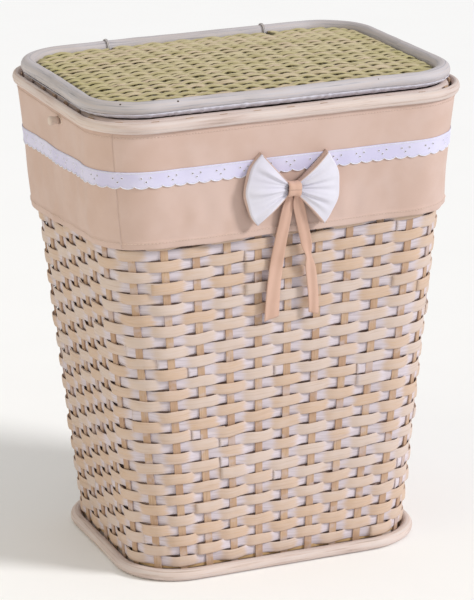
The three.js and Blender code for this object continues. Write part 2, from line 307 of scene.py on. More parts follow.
# --- plans
class Plan:
    """A rounded rectangle seen from above, which may widen with height."""

    def __init__(self, low, high, centre_y=0.0):
        self.low, self.high, self.centre_y = low, high, centre_y  # levels as (z, half x, half y)

    def arc_centre(self, z):
        rise = (z - self.low[0]) / (self.high[0] - self.low[0])
        return [self.low[i] + (self.high[i] - self.low[i]) * rise - CORNER_RADIUS for i in (1, 2)]

    def at(self, share, z, offset=0.0):
        """Points that share of the way round from the middle of the +X side, and their normals."""
        share, z, offset = np.broadcast_arrays(*(np.asarray(v, float) for v in (share, z, offset)))
        quarter = np.mod(share + 1e-9, 1.0) * 4
        corner = np.floor(quarter)
        centre_x, centre_y = self.arc_centre(z)
        arc = CORNER_RADIUS * math.pi / 2
        before = np.where(corner % 2 == 0, centre_y, centre_x)
        distance = (quarter - corner) * (centre_x + centre_y + arc)
        turn = np.clip((distance - before) / arc, 0, 1)
        straight = distance - before - turn * arc
        angle = (corner + turn) * math.pi / 2
        middle = (corner + 0.5) * math.pi / 2
        cos, sin = np.cos(angle), np.sin(angle)
        x = np.sign(np.cos(middle)) * centre_x + (CORNER_RADIUS + offset) * cos - straight * sin
        y = np.sign(np.sin(middle)) * centre_y + (CORNER_RADIUS + offset) * sin + straight * cos
        return np.stack([x, y + self.centre_y, z], -1), np.stack([cos, sin, 0 * cos], -1)

    def length(self, z):
        centre_x, centre_y = self.arc_centre(z)
        return 4 * (centre_x + centre_y) + TAU * CORNER_RADIUS


def wall_plan():
    """The stake ring: its half sizes come from a side stake and a back stake."""
    side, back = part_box("stake_01"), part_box("stake_10")
    low = (side[0].z, side[0].x + STAKE_HALF, back[0].y + STAKE_HALF)
    high = (side[1].z, side[1].x - STAKE_HALF, back[1].y - STAKE_HALF)
    return Plan(low, high)


def lid_plan():
    low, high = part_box("lid_rim_hoop")
    radius = (high.z - low.z) / 2
    half_x, half_y = (high.x - low.x) / 2 - radius, (high.y - low.y) / 2 - radius
    return Plan((0.0, half_x, half_y), (1.0, half_x, half_y), (high.y + low.y) / 2)


WALL = wall_plan()
LID = lid_plan()


def ripple(share, size, rounds, count=12, z=0, heights=(0, 1)):
    """Smooth uneven waves of about that size, which meet themselves after one round."""
    total = 0
    for _ in range(count):
        turns = RANDOM.integers(*rounds)
        rate = RANDOM.uniform(*heights) * RANDOM.choice([-1, 1])
        total = total + np.sin(TAU * (turns * share + rate * z + RANDOM.random()))
    return size * total / math.sqrt(count / 2)


# --- meshes
def mesh_piece(name, points, faces, look, body="basket", values=None, outwards=False):
    """One named piece with smooth faces and per-point values, riding on a body."""
    mesh = bpy.data.meshes.new(name)
    mesh.from_pydata(np.asarray(points).reshape(-1, 3).tolist(), [], faces)
    for key, array in (values or {}).items():
        array = np.asarray(array, np.float32)
        kind, field = ("FLOAT_VECTOR", "vector") if array.ndim == 2 else ("FLOAT", "value")
        mesh.attributes.new(key, kind, "POINT").data.foreach_set(field, array.ravel())
    if outwards:
        face_outwards(mesh)
    mesh.polygons.foreach_set("use_smooth", np.ones(len(mesh.polygons), bool))
    mesh.materials.append(look)
    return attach(new_object(name, mesh), body)


def face_outwards(mesh, weld=0.0):
    """Turns every face outwards, once points closer than weld are joined."""
    work = bmesh.new()
    work.from_mesh(mesh)
    if weld:
        bmesh.ops.remove_doubles(work, verts=work.verts, dist=weld)
    bmesh.ops.recalc_face_normals(work, faces=work.faces)
    work.to_mesh(mesh)
    work.free()


def stand_in(piece, node):
    """The piece shows in a node's place, and the node itself is hidden."""
    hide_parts(node)
    return piece


def unit(vectors):
    return vectors / np.linalg.norm(vectors, axis=-1)[..., None]


def distances(points):
    """How far along a line each of its points lies."""
    return np.append(0, np.cumsum(np.linalg.norm(np.diff(points, axis=0), axis=1)))


def circle(count):
    """Angles evenly round a circle."""
    return np.arange(count) / count * TAU


def grid_faces(rows, columns, wrap_rows=False, wrap_columns=False):
    r = np.arange(rows if wrap_rows else rows - 1)[:, None]
    c = np.arange(columns if wrap_columns else columns - 1)[None, :]
    r2, c2 = (r + 1) % rows, (c + 1) % columns
    quads = np.stack([r * columns + c, r2 * columns + c, r2 * columns + c2, r * columns + c2], -1)
    return quads.reshape(-1, 4).tolist()


def caps(rows, sides):
    """The two end faces of a tube that is rows long and sides round."""
    return [list(range(sides)), list(range(rows * sides - 1, (rows - 1) * sides - 1, -1))]


def thicken(piece, thickness):
    solid = piece.modifiers.new("thickness", "SOLIDIFY")
    solid.thickness = thickness
    solid.offset = 0


def cloth_piece(name, points, weave, look, thickness, node, body="basket", faces=None, outwards=False):
    """A sheet that stands for a node: weave is how far each point lies along and up its threads."""
    threads = np.stack(np.broadcast_arrays(*weave, 0.0), -1).reshape(-1, 3)
    faces = faces or grid_faces(*points.shape[:2])
    piece = mesh_piece(name, points, faces, look, body, {"cloth": threads}, outwards)
    thicken(piece, thickness)
    return stand_in(piece, node)


class Bundle:
    """Many strands gathered into one mesh."""

    def __init__(self):
        self.points, self.faces, self.values, self.count = [], [], {}, 0

    def add(self, points, faces, **values):
        points = np.asarray(points).reshape(-1, 3)
        self.points.append(points)
        self.faces += [[i + self.count for i in face] for face in faces]
        for key, array in values.items():
            self.values.setdefault(key, []).append(array)
        self.count += len(points)

    def strand(self, centres, side, out, section, seed=0.0, raised=None, tint=None, closed=False):
        """Carries a section of (side, out) pairs along the centres, with a cap at each free end."""
        section = np.broadcast_to(section, (len(centres), *np.shape(section)[-2:]))
        points = centres[:, None] + section[..., :1] * side[:, None] + section[..., 1:] * out[:, None]
        rows, sides = section.shape[:2]
        faces = grid_faces(rows, sides, wrap_rows=closed, wrap_columns=True)
        if not closed:
            faces += caps(rows, sides)
        along, around = distances(centres)[:, None], distances(section[0])
        where = np.stack(np.broadcast_arrays(along + seed, around + seed, seed), -1)
        values = {"strand": where.reshape(-1, 3)}
        if raised is not None:
            values["raised"] = np.repeat(raised, sides)
        if tint is not None:
            values["tint"] = np.repeat(np.broadcast_to(tint, (rows, 3)), sides, axis=0)
        self.add(points, faces, **values)

    def level_strand(self, centres, out, section, **more):
        """A strand whose section stands upright all the way."""
        self.strand(centres, np.broadcast_to(UP, out.shape), out, section, **more)

    def piece(self, name, look, body="basket", outwards=True):
        values = {key: np.concatenate(arrays) for key, arrays in self.values.items()}
        return mesh_piece(name, np.concatenate(self.points), self.faces, look, body, values, outwards)


def round_section(radius, sides, squash=1.0):
    angle = circle(sides)
    return np.stack([radius * np.cos(angle), radius * squash * np.sin(angle)], -1)


# --- the woven wall
WEAVE_LOW, WEAVE_HIGH = (corner.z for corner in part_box("wall_weave"))


def split_section(width, thickness):
    """A flat split: a slightly crowned outer face, a flat inner one, and soft edges."""
    half, edge, crown = width / 2, 0.5 * MM, 0.28 * MM
    return np.array([
        (-half, -0.1 * thickness), (-half + edge, -thickness / 2), (0, -thickness / 2),
        (half - edge, -thickness / 2), (half, -0.1 * thickness), (half - 0.3 * MM, 0.3 * thickness),
        (half - 1.6 * MM, thickness / 2), (0, thickness / 2 + crown), (-half + 1.6 * MM, thickness / 2),
        (-half + 0.3 * MM, 0.3 * thickness),
    ])


def strip_starts():
    """Where the three splits of one row start, half-way between two stakes, and where the last ends."""
    first = RANDOM.integers(0, STAKES)
    lengths = RANDOM.integers(10, 15, 2)
    return [(first + n + 0.5) / STAKES for n in (0, lengths[0], lengths[0] + lengths[1], STAKES)]


def weave_wall(look):
    """Plain weave: each row passes outside one stake and inside the next, and rows take turns."""
    bundle = Bundle()
    for row in range(WALL_ROWS):
        bulge = RANDOM.uniform(0, 1.1 * MM, STAKES + 1)
        bulge[-1] = bulge[0]
        starts = strip_starts()
        for start, end in zip(starts, starts[1:]):
            add_split(bundle, row, start, end, bulge)
    stand_in(bundle.piece("wall_weavers", look), "wall_weave")


def add_split(bundle, row, start, end, bulge):
    """One split, which laps over the one before it, past a stake, and bulges where it shows."""
    outside, inside = 1.85 * MM, -1.8 * MM
    lap, stations_per_stake = 0.95 / STAKES, 10
    share = np.arange(start - lap, end + 0.35 / STAKES, 1 / (STAKES * stations_per_stake))
    side_of_first = 1 if row % 2 else -1
    wave = side_of_first * np.sin(math.pi / 2 * np.cos(math.pi * STAKES * share))
    offset = (outside + inside) / 2 + (outside - inside) / 2 * wave
    offset += np.interp(np.mod(share, 1) * STAKES, np.arange(STAKES + 1), bulge) * np.clip(wave, 0, 1) ** 2
    thickness = RANDOM.uniform(1.05, 1.3) * MM
    lift = np.clip(1 - (share - start) * STAKES / 0.9, 0, 1)
    offset += 1.15 * thickness * lift * lift * (3 - 2 * lift)
    z = WEAVE_LOW + (WEAVE_HIGH - WEAVE_LOW) / WALL_ROWS * (row + 0.5)
    z = z + ripple(share, 0.3 * MM, (3, 50), 8)
    z += 0.5 * MM * side_of_first * np.sin(math.pi * STAKES * share)
    centres, normal = WALL.at(share, z, offset)
    up = unit(WALL.at(share, z + 5 * MM, offset)[0] - centres)
    tilt = ripple(share, 0.035, (4, 40), 5)[:, None]
    width = RANDOM.normal(13.2, 0.3) * MM
    taper = 1 + ripple(share, 0.018, (8, 50), 5)[:, None, None]
    section = split_section(width, thickness)[None] * np.concatenate([taper, np.ones_like(taper)], 2)
    tone, washed = RANDOM.random(), RANDOM.choice([0.0, 0.08, 0.16, 0.4], p=[0.45, 0.3, 0.2, 0.05])
    bundle.strand(centres, up + normal * tilt, normal - up * tilt, section, seed=RANDOM.uniform(0, 50),
                  raised=0.5 + 0.5 * wave, tint=(tone, washed, 0))


def paint_cad_node(node, look):
    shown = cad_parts[node]
    if not shown.material_slots:
        shown.data.materials.append(look)
    for material_slot in shown.material_slots:
        material_slot.material = look


# --- bent rods
class Rod:
    """The size and place of a hoop: half its height, its level, and its distance out from a plan."""

    def __init__(self, node, plan, flatness=1.0):
        low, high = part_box(node)
        self.radius, self.z = (high.z - low.z) / 2, (high.z + low.z) / 2
        self.offset = high.x - self.radius * flatness - plan.at(0.0, self.z)[0][0]


def bent_rod(name, node, look, unevenness, flatness=1.0, groove=None):
    """A hoop that follows its CAD hoop, a little uneven, with a groove at an angle up from outwards."""
    on_lid = node == "lid_rim_hoop"
    plan, body, slot = (LID, "lid", "lid_rod") if on_lid else (WALL, "basket", "bent_rod")
    rod = Rod(node, plan, flatness)
    share = np.append(np.arange(0, 1, 1 / 360), 1.0)
    level = rod.z + ripple(share, 0.22 * MM * unevenness, (1, 9))
    level = np.maximum(level, 1.02 * rod.radius)  # never through the floor
    run = rod.offset + ripple(share, 0.22 * MM * unevenness, (1, 9))
    centres, normal = plan.at(share, level, run)
    thickness = 1 + ripple(share, 0.012, (2, 40))
    section = round_section(rod.radius * 0.985, 40, flatness)
    if groove is not None:
        angle = np.arctan2(section[:, 0], section[:, 1] / flatness)
        away = (angle - groove + math.pi) % TAU - math.pi
        section *= (1 - 0.13 * np.exp(-(away / 0.13) ** 2))[:, None]
    bundle = Bundle()
    bundle.level_strand(centres, normal, section[None] * thickness[:, None, None], seed=RANDOM.uniform(0, 20))
    bundle.faces = bundle.faces[:-2]  # the ends meet, so they need no caps
    stand_in(bundle.piece(name, look, body), node)


def add_nails(places, look):
    """Small domed nail heads let into the lid's rod, at those shares of the way round."""
    bundle = Bundle()
    rings, sides, head, tilt = 4, 8, 1.25 * MM, math.radians(52)
    angle = circle(sides)[:, None]
    for share in places:
        centre, normal = (v[0] for v in LID.at([share], LID_ROD.z, LID_ROD.offset))
        out = normal * math.cos(tilt) + UP * math.sin(tilt)
        across = np.array([-normal[1], normal[0], 0])
        along = np.cross(out, across)
        points = []
        for rise in np.linspace(0, 1, rings):
            reach = head * math.sqrt(1 - (0.93 * rise) ** 2)
            depth = LID_ROD.radius - 0.5 * MM + 0.9 * MM * rise
            points.append(centre + out * depth + reach * (np.cos(angle) * across + np.sin(angle) * along))
        bundle.add(np.concatenate(points), grid_faces(rings, sides, wrap_columns=True) + caps(rings, sides))
    bundle.piece("lid_nails", look, "lid")


# --- the lid
LID_ROD = Rod("lid_rim_hoop", LID)
LID_RIB_PITCH = 19 * MM
LID_WEAVERS = 37
LID_EDGE_Z, LID_CROWN = LID_ROD.z - 0.6 * MM, 8 * MM
LOOP_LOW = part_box("hinge_loop_right")[0]
LOOP_X = LOOP_LOW.x + 1.5 * MM  # the middle of one hinge loop: the other mirrors it


def lid_reach(distance, axis, inset):
    """Half the room inside the lid's frame along x (0) or y (1), at that distance from its middle."""
    centres = LID.arc_centre(0)
    radius = CORNER_RADIUS - inset
    past = np.clip(abs(distance) - centres[1 - axis], 0, radius * 0.999)
    return centres[axis] + math.sqrt(radius * radius - past * past)


def lid_height(x, y):
    """The lid's woven panel is crowned both ways."""
    half_x, half_y = LID.low[1], LID.low[2]
    along = 1 - np.abs(x / half_x) ** 2.4
    across = 1 - np.abs((y - LID.centre_y) / half_y) ** 2.4
    return LID_EDGE_Z + LID_CROWN * np.clip(along, 0, 1) * np.clip(across, 0, 1)


def weave_lid(look):
    """Pairs of thin rods run along the lid, over one rib and under the next."""
    bundle = Bundle()
    half_y = LID.low[2] - LID_ROD.radius
    for row in range(LID_WEAVERS):
        middle = (2 * row + 1) / LID_WEAVERS * half_y - half_y
        for lane in (-1, 1):
            add_lid_weaver(bundle, row, lane, middle)
    ribs = int(2 * LID.low[1] / LID_RIB_PITCH) // 2
    for rib in [sign * (n + 0.5) for n in range(ribs) for sign in (-1, 1)]:
        add_lid_rib(bundle, rib)
    stand_in(bundle.piece("lid_weavers", look, "lid"), "lid_weave")


def add_lid_weaver(bundle, row, lane, middle):
    """One thin rod of a pair, which turns down at its ends: its tint makes it greener towards its ends, and
    paints shade into its dips and its turned-down ends.
    """
    reach = lid_reach(middle, 0, 0.45 * LID_ROD.radius)
    x = np.linspace(-reach, reach, 171)
    wave = (1 if row % 2 else -1) * np.cos(math.pi * (x - LID_RIB_PITCH / 2) / LID_RIB_PITCH)
    from_end = reach - np.abs(x)
    end = np.clip(1 - from_end / (20 * MM), 0, 1)
    wobble = RANDOM.normal(0, 0.35) + ripple(x / reach, 0.55, (3, 15), 6)
    y = LID.centre_y + middle + (lane * (1.95 + 0.25 * wave) * (1 - 0.2 * end) + wobble) * MM
    z = lid_height(x, y) + 1.5 * MM * wave * (1 - end) + RANDOM.normal(0, 0.25) * MM
    z += 1.6 * MM * np.sin(math.pi * np.clip(from_end / (20 * MM), 0, 1)) - 5.2 * MM * end ** 1.6
    centres = np.stack([x, y, z], -1)
    forward = np.gradient(centres, axis=0)
    side = unit(np.cross(forward, UP))
    up = unit(np.cross(side, forward))
    radius = RANDOM.normal(2.04, 0.16) * MM
    taper = (1 + 0.12 * RANDOM.choice([-1, 1]) * np.linspace(-1, 1, len(x))) * (1 - 0.3 * end)
    section = round_section(radius, 8, 0.72)[None] * taper[:, None, None]
    tint = np.zeros((len(x), 3))
    tint[:, 0] = RANDOM.random()
    tint[:, 1] = 0.75 * np.clip(1 - from_end / (55 * MM), 0, 1) * RANDOM.uniform(0.5, 1)
    # painted shade: darker where the rod dips under a rib, and darker still where it turns down at its ends
    tint[:, 2] = 0.6 * np.clip(-wave - 0.2, 0, 0.8) + 0.45 * end ** 2
    seed = RANDOM.uniform(0, 50)
    for run in runs_clear_of_hinges(x, middle):
        bundle.strand(centres[run], side[run], up[run], section[run], seed=seed, tint=tint[run])


def add_lid_rib(bundle, rib):
    """A rod across the lid, under and over the thin ones: its ends turn down too."""
    x = rib * LID_RIB_PITCH
    reach = lid_reach(x, 1, 0.5 * LID_ROD.radius)
    y = LID.centre_y + np.linspace(-reach, reach, 60)
    fall = np.clip(1 - (reach - np.abs(y - LID.centre_y)) / (12 * MM), 0, 1)
    centres = np.stack([np.full_like(y, x), y, lid_height(x, y) - 2.5 * MM * fall], -1)
    side = np.broadcast_to([1.0, 0, 0], centres.shape)
    up = np.broadcast_to(UP, centres.shape)
    # its tint is dark brown: painted shade for the gaps between the thin rods, where the rib shows through
    bundle.strand(centres, side, up, round_section(1.7 * MM, 8, 0.85), seed=rib, tint=(0.5, 1.0, 0.8))


def runs_clear_of_hinges(x, middle):
    """The lengths of a lid rod: near the back it stops short of each hinge loop."""
    if middle <= LOOP_LOW.y - LID.centre_y - 17 * MM:
        return [np.ones(len(x), bool)]
    room = 3.6 * MM
    return [x < -LOOP_X - room, np.abs(x) < LOOP_X - room, x > LOOP_X + room]


def add_lid_lining(look):
    """Cloth under the lid, gathered round its rod, and left open at the hinge loops."""
    _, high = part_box("lid_lining")
    columns = 720
    share = 0.25 + np.arange(columns) / columns
    gather = ripple(share, 0.55 * MM, (60, 120)) + ripple(share, 0.3 * MM, (120, 200))
    rows = []
    for scale in np.concatenate([np.linspace(0.03, 0.9, 14), np.linspace(0.93, 1, 4)]):
        ring, _ = LID.at(share, high.z, -7 * MM)
        ring[:, :2] = ring[:, :2] * scale + np.array([0, LID.centre_y]) * (1 - scale)
        ring[:, 2] = high.z - 0.6 * MM - 2.2 * MM * (1 - scale ** 4)
        ring[:, 2] -= 0.5 * MM * np.sin(9 * share * TAU) * scale * (1 - scale)
        rows.append(ring)
    reach = LID_ROD.radius + 0.45 * MM
    front = np.clip(-1.4 * np.sin(share * TAU) - 0.25, 0, 1)
    for step in np.linspace(0, 1, 10):
        angle = np.radians(-28 + (68 + 34 * front) * step)
        loose = np.clip(np.sin(angle), 0, 1) * (0.35 + 0.65 * front)
        swell = (np.clip(gather, -0.4 * MM, 1.1 * MM) + 0.7 * MM * front) * loose
        wavy = angle + (gather / MM) * 0.07 * loose
        run = (reach + swell) * np.sin(wavy)
        ring, _ = LID.at(share, 0.0, run)
        ring[:, 2] = LID_ROD.z - (reach + swell) * np.cos(wavy)
        rows.append(ring)
    points = np.stack(rows)
    faces = [face for face in grid_faces(len(rows), columns, wrap_columns=True)
             if not at_hinge_loop(points.reshape(-1, 3)[face].mean(0))]
    faces.append(list(range(columns)))
    piece = cloth_piece("lid_lining_cloth", points, (points[..., 0], points[..., 1]), look, 0.5 * MM,
                        "lid_lining", "lid", faces, outwards=True)


def at_hinge_loop(point):
    return abs(abs(point[0]) - LOOP_X) < 3 * MM and point[1] > LOOP_LOW.y - 3 * MM


def add_hinge_loops(look):
    """Each hinge is two turns of cane, round the lid's rod and the rim's outer rod."""
    rim = Rod("rim_outer_hoop", WALL, RIM_FLATNESS)
    rim_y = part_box("rim_outer_hoop")[1].y - rim.radius * RIM_FLATNESS
    lid_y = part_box("lid_rim_hoop")[1].y - LID_ROD.radius
    cane = 2.0 * MM  # how far a loop's middle line lies inside the box of its node
    for word in ("left", "right"):
        low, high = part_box("hinge_loop_" + word)
        path = belt((lid_y, LID_ROD.z, high.z - LID_ROD.z - cane), (rim_y, rim.z, rim.z - low.z - cane))
        forward = unit(np.roll(path, -1, 0) - np.roll(path, 1, 0))
        out = np.stack([np.zeros(len(path)), forward[:, 1], -forward[:, 0]], -1)
        side = np.broadcast_to([1.0, 0, 0], out.shape)
        bundle = Bundle()
        for lane in (-0.75 * MM, 0.75 * MM):
            centres = np.stack([np.full(len(path), (low.x + high.x) / 2 + lane), path[:, 0], path[:, 1]], -1)
            bundle.strand(centres, side, out, round_section(0.74 * MM, 8), seed=lane * 900, closed=True)
        stand_in(bundle.piece("hinge_cane_" + word, look), "hinge_loop_" + word)


def belt(first, second):
    """A path like a belt round two wheels, each given as (y, z, radius)."""
    (y1, z1, r1), (y2, z2, r2) = first, second
    heading = math.atan2(z2 - z1, y2 - y1)
    lean = math.acos((r1 - r2) / math.hypot(y2 - y1, z2 - z1))
    first_arc = np.linspace(heading + lean, heading + TAU - lean, 30)
    second_arc = np.linspace(heading - lean, heading + lean, 24)
    return np.concatenate([
        np.stack([y1 + r1 * np.cos(first_arc), z1 + r1 * np.sin(first_arc)], -1),
        np.stack([y2 + r2 * np.cos(second_arc), z2 + r2 * np.sin(second_arc)], -1),
    ])


# --- the cloth liner
CUFF_LOW, CUFF_HIGH = (corner.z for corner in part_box("liner_cuff"))
CUFF_SEAM = 0.607  # at the front left corner
DROOP_SHARE = 0.42  # where the cuff hangs lowest, on the left towards the back


def droop(share):
    """How far the cuff sags there, as a share of its most."""
    away = np.mod(share - DROOP_SHARE + 0.5, 1) - 0.5
    return np.exp(-(away / 0.145) ** 2)


def hang(share, z):
    """A level on the cuff as it hangs: it sags at its hem, and not near the rim."""
    return z - 14 * MM * droop(share) * np.clip(1 - (z - CUFF_LOW) / (100 * MM), 0, 1)


def add_liner_bag(look):
    """The bag inside hangs from between the rim's rods, in soft folds, and lies on the base."""
    low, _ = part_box("liner_bag")
    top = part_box("rim_outer_hoop")[0].z + 2.5 * MM
    columns = 361
    share = 0.25 + np.linspace(0, 1, columns)
    levels = np.linspace(1, 0, 46)
    z = low.z + 3 * MM + (top - low.z - 3 * MM) * levels[:, None] + 0 * share
    folds = ripple(share, 1.0, (9, 26), 9, levels[:, None], (-0.3, 0.3))
    slack = np.sin(math.pi * np.clip(1.06 - levels, 0, 1) * 0.6)[:, None]
    offset = -3.6 * MM - 3.4 * MM * slack * np.clip(1 + folds, 0, None)
    offset = np.where(z > top - 9 * MM, np.minimum(-0.6 * MM, -3.6 * MM * (top - z) / (9 * MM)), offset)
    points, _ = WALL.at(share[None], z, offset)
    rings = 14
    for n, scale in enumerate(np.linspace(0.985, 0.03, rings)):
        ring = points[len(levels) - 1] * [scale, scale, 0] + [0, 0, low.z + 0.8 * MM]
        ring[:, 2] += 1.4 * MM * np.clip(np.sin(5 * TAU * share + 7 * n) * np.sin(0.9 * n), 0, 1)
        points = np.concatenate([points, ring[None]])
    upright = np.concatenate([z[:, 0], -np.linspace(0, 0.2, rings)])
    last = (len(points) - 1) * columns
    faces = grid_faces(len(points), columns) + [list(range(last, last + columns))]
    piece = cloth_piece("liner_bag_cloth", points, (share * 1.4, upright[:, None]), look, 0.5 * MM,
                        "liner_bag", faces=faces)
    girth, height = WALL.length(top), top - low.z


def cuff_offset(share, z):
    """How far the cuff stands off the stakes: close under the rim, looser towards its hem."""
    drop = np.clip((CUFF_HIGH - z) / (CUFF_HIGH - CUFF_LOW), 0, 1)
    loose = 5.6 * MM + (0.7 + 1.1 * drop) * MM * np.clip(1 + CUFF_WAVES(share, z), 0, 2.2)
    loose = loose + 0.42 * MM * CUFF_CREASES(share, z) * (0.3 + 0.7 * drop)
    at_seam = np.mod(share - CUFF_SEAM + 0.5, 1) - 0.5
    return loose + 0.8 * MM * np.exp(-(at_seam * 1400 / 2.2) ** 2)


def make_waves(count, rounds, heights):
    """Fixed uneven waves of the cuff, so that what lies on it can follow them."""
    turns = RANDOM.integers(*rounds, count)
    rates = RANDOM.uniform(-heights, heights, count)
    phases = RANDOM.random(count)

    def waves(share, z):
        total = 0
        for turn, rate, phase in zip(turns, rates, phases):
            total = total + np.sin(TAU * (turn * share + rate * z + phase))
        return total / math.sqrt(count)
    return waves


CUFF_WAVES = make_waves(9, (3, 17), 7.0)
CUFF_CREASES = make_waves(8, (16, 55), 20.0)


def add_cuff(look, thread):
    """The liner's turned-down cuff, with a hem, two rows of stitches and a seam at one corner."""
    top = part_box("rim_outer_hoop")[0].z + 2.3 * MM
    hem = 8.5 * MM
    share = CUFF_SEAM + np.linspace(0, 1, 721)
    edge = ripple(share, 0.5 * MM, (4, 26), 8)
    in_hem = CUFF_LOW + np.array([0, 0.4, 1.2, 4, 7.2, 8.0, 8.6, 9.2]) * MM
    above = np.linspace(CUFF_LOW + 12 * MM, CUFF_HIGH, 36)
    levels = np.concatenate([in_hem, above, np.linspace(CUFF_HIGH + 2 * MM, top, 4)])
    z = hang(share[None], levels[:, None])
    z += edge[None] * np.clip(1 - (levels[:, None] - CUFF_LOW) / (60 * MM), 0, 1)
    offset = cuff_offset(share[None], z)
    doubled = 1 / (1 + np.exp((levels - CUFF_LOW - hem) / (0.25 * MM)))
    rolled = np.exp(-(levels - CUFF_LOW) / (0.5 * MM)) * 0.8
    offset += (0.75 * MM * doubled - 0.9 * MM * rolled)[:, None]
    under = np.clip((z - CUFF_HIGH) / (top - CUFF_HIGH), 0, 1)
    offset = offset * (1 - under) + 4.6 * MM * under
    points, _ = WALL.at(share[None], z, offset)
    run = (share - CUFF_SEAM) * WALL.length(z.mean())
    piece = cloth_piece("liner_cuff_cloth", points, (run, z), look, 0.7 * MM, "liner_cuff")
    rows = ((CUFF_LOW + hem - 1.4 * MM, 1.25 * MM), (top - 6.8 * MM, 0.42 * MM))
    stitches = add_stitches(rows, thread)
    WALL.length(CUFF_HIGH) + 0.02


def add_stitches(rows, look):
    """Rows of short stitches on the cuff: each row is (height, how proud it lies)."""
    bundle = Bundle()
    pitch, long = 3.6 * MM, 2.5 * MM
    for z, proud in rows:
        count = int(WALL.length(z) / pitch)
        for stitch in range(count):
            share = (stitch + np.array([-0.5, 0, 0.5]) * long / pitch) / count
            level = hang(share, z)
            offset = cuff_offset(share, level) + proud + np.array([0.05, 0.35, 0.05]) * MM
            bundle.level_strand(*WALL.at(share, level, offset), round_section(0.26 * MM, 5))
    piece = bundle.piece("cuff_stitches", look, outwards=False)
    return piece


LACE_PERIODS = 50
LACE_CELLS = 6  # squares in one repeat of the lace, and four rows of them
LACE_ROWS = 4
LACE_CELL = 1 / (LACE_PERIODS * LACE_CELLS)
LACE_GIRTH = WALL.length(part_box("lace_trim")[0].z)
LACE_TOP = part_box("lace_trim")[1].z - 0.5 * MM
LACE_HEIGHT = 19.5 * MM  # from its straight top to the tips of its scallops
EYELETS = {(1, 1), (3, 1), (2, 2)}


def lace_place(share, height, proud=0.0):
    """A point of the lace: height is 0 at its straight top and 1 at the tips of its scallops."""
    z = LACE_TOP - LACE_HEIGHT * height - 8 * MM * droop(share)
    return WALL.at(share, z, cuff_offset(share, z) + 0.9 * MM + proud)


def add_lace(look, thread):
    """A narrow strip of lace: eyelets in threes, with raised rings, and a scalloped lower edge."""
    bundle, cord = Bundle(), Bundle()
    side = np.linspace(-0.5, 0.5, 5)[:-1]
    half = np.full(4, 0.5)
    edges = ((side, -half), (half, side), (-side, half), (-half, -side))
    square = np.concatenate([np.stack(edge, -1) for edge in edges])
    for column in range(LACE_PERIODS * LACE_CELLS):
        for row in range(LACE_ROWS):
            hole = (column % LACE_CELLS, row) in EYELETS
            add_lace_cell(bundle, square, column, row, 0.16 if hole else 0.02)
            if hole:
                add_eyelet_ring(cord, column, row)
    share = np.arange(0, 1, 1 / (LACE_PERIODS * 36))
    edge = lace_place(share, scallop(share) - 0.02, 0.35 * MM)
    cord.level_strand(*edge, round_section(0.62 * MM, 6), closed=True)
    for line in (0.06, 0.1):
        cord.level_strand(*lace_place(share[::4], line, 0.25 * MM), round_section(0.25 * MM, 5), closed=True)
    piece = bundle.piece("lace_cloth", look, outwards=False)
    raised = cord.piece("lace_cording", thread, outwards=False)
    face_outwards(piece.data, 0.02 * MM)
    thicken(piece, 0.45 * MM)
    stand_in(piece, "lace_trim")


def scallop(share):
    """How far down the lace reaches, as a share of its height: two round lobes to each repeat."""
    lobe = np.abs(np.sin(math.pi * 2 * LACE_PERIODS * share))
    return 0.86 + 0.14 * lobe ** 0.7


def add_lace_cell(bundle, square, column, row, radius):
    """One square of the lace, with a round hole in it, laid in its place on the cuff."""
    points = np.concatenate([square, unit(square) * radius * 1.35, unit(square) * radius])
    share = (column + 0.5 + points[:, 0]) * LACE_CELL
    down = (row + 0.5 + points[:, 1]) / LACE_ROWS
    place, _ = lace_place(share, down * scallop(share))
    cloth = np.stack([share * LACE_GIRTH, down * 0.02, 0 * share], -1)
    bundle.add(place, grid_faces(3, len(square), wrap_columns=True), cloth=cloth)


def add_eyelet_ring(bundle, column, row):
    """The worked edge of an eyelet."""
    angle, reach = circle(10), 0.27 * LACE_CELL
    share = (column + 0.5) * LACE_CELL + reach * np.cos(angle)
    down = (row + 0.5) / LACE_ROWS * scallop(share) + reach * LACE_GIRTH / LACE_HEIGHT * np.sin(angle)
    centres, normal = lace_place(share, down, 0.25 * MM)
    bundle.strand(centres, unit(centres - centres.mean(0)), normal, round_section(0.4 * MM, 6), closed=True)


# --- the bow
class Bow:
    """The bow's own frame: across, up and out from the middle of its knot."""

    def __init__(self):
        low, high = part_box("bow_knot")
        self.middle = (low + high) / 2
        self.half = (high - low) / 2
        left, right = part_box("bow_loop_left"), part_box("bow_loop_right")
        rise = (right[0].z + right[1].z - left[0].z - left[1].z) / 2
        across = (right[0].x + right[1].x - left[0].x - left[1].x) / 2
        self.tilt = math.atan2(rise, across)
        self.reach = (right[1].x - left[0].x) / 2 + 0.5 * MM

    def at(self, across, up, out):
        cos, sin = math.cos(self.tilt), math.sin(self.tilt)
        across, up, out = np.broadcast_arrays(across, up, out)
        return np.stack([
            self.middle.x + across * cos - up * sin,
            self.middle.y - out,
            self.middle.z + across * sin + up * cos,
        ], -1)


BOW = Bow()


